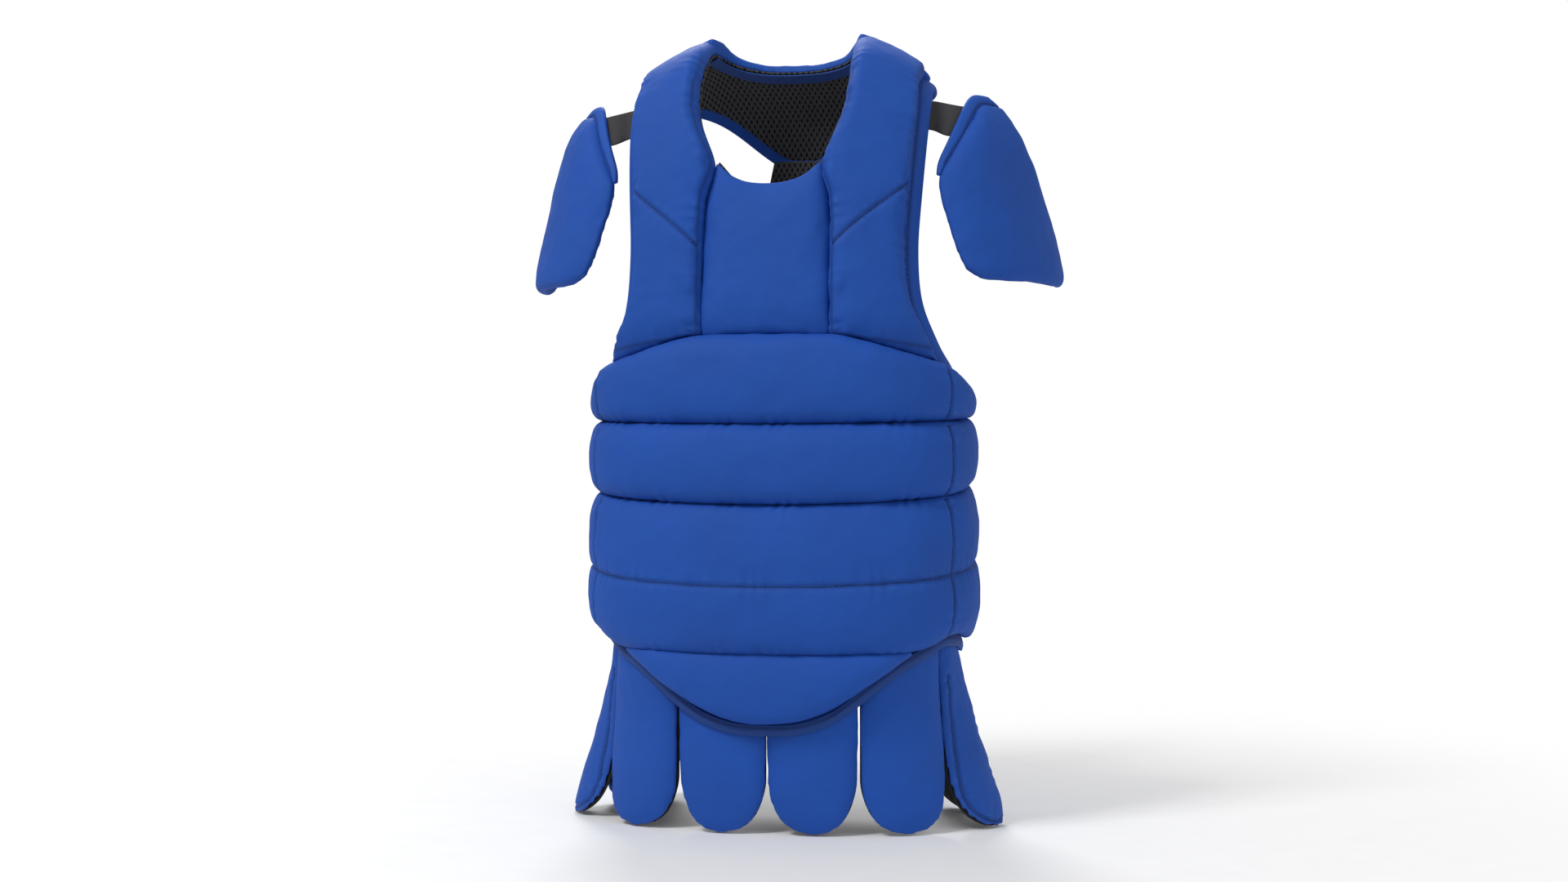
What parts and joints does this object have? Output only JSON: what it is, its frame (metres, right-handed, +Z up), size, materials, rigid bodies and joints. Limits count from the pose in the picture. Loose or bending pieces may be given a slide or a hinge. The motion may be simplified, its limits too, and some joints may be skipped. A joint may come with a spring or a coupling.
{
  "type": "padded torso armour",
  "caption": "Padded torso armour with mesh lining, shoulder caps, a spine pad on elastic straps and hip flaps, open at neck, arms, back and hem for a wearer.",
  "frame": {"origin": "where the shoulders carry it: on top of the body hollow, midway between the shoulders", "axes": "+Z up, -Y the way the chest faces, +X the wearer's left"},
  "size_m": [0.5076, 0.2356, 0.7199],
  "materials": {
    "blue_cloth": "woven cloth over foam, matt royal blue",
    "dark_binding": "folded and stitched tape, matt dark blue",
    "black_mesh": "knitted spacer mesh, matt black",
    "elastic_webbing": "ribbed elastic, matt charcoal grey",
    "hook_tape": "hook-and-loop tape, matt black",
    "flap_lining": "plain cloth, matt black"
  },
  "bodies": {
    "root": {"armhole_binding_left": "blue_cloth", "armhole_binding_right": "blue_cloth", "belly_pad": "blue_cloth", "cap_binding_left": "blue_cloth", "cap_binding_right": "blue_cloth", "cap_strap_left": "elastic_webbing", "cap_strap_right": "elastic_webbing", "chest_lining_left": "black_mesh", "chest_lining_right": "black_mesh", "chest_pad_left": "blue_cloth", "chest_pad_right": "blue_cloth", "front_flap_1": "blue_cloth", "front_flap_1_lining": "flap_lining", "front_flap_2": "blue_cloth", "front_flap_2_lining": "flap_lining", "front_flap_3": "blue_cloth", "front_flap_3_lining": "flap_lining", "front_flap_4": "blue_cloth", "front_flap_4_lining": "flap_lining", "hem_binding": "dark_binding", "neck_band": "dark_binding", "rear_flap_left": "blue_cloth", "rear_flap_left_lining": "flap_lining", "rear_flap_right": "blue_cloth", "rear_flap_right_lining": "flap_lining", "rib_lower": "blue_cloth", "rib_middle": "blue_cloth", "rib_upper": "blue_cloth", "shoulder_cap_left": "blue_cloth", "shoulder_cap_right": "blue_cloth", "side_flap_left": "blue_cloth", "side_flap_left_lining": "flap_lining", "side_flap_right": "blue_cloth", "side_flap_right_lining": "flap_lining", "spine_hem": "dark_binding", "spine_lining": "black_mesh", "spine_pad": "blue_cloth", "spine_strap": "elastic_webbing", "spine_strap_tab": "hook_tape", "sternum_lining": "black_mesh", "sternum_pad": "blue_cloth", "waist_belt": "elastic_webbing", "waist_belt_tab": "hook_tape", "waist_lining": "black_mesh", "wing_binding_left": "blue_cloth", "wing_binding_right": "blue_cloth", "yoke_binding": "blue_cloth", "yoke_lining": "black_mesh", "yoke_pad": "blue_cloth"}
  },
  "joints": []
}
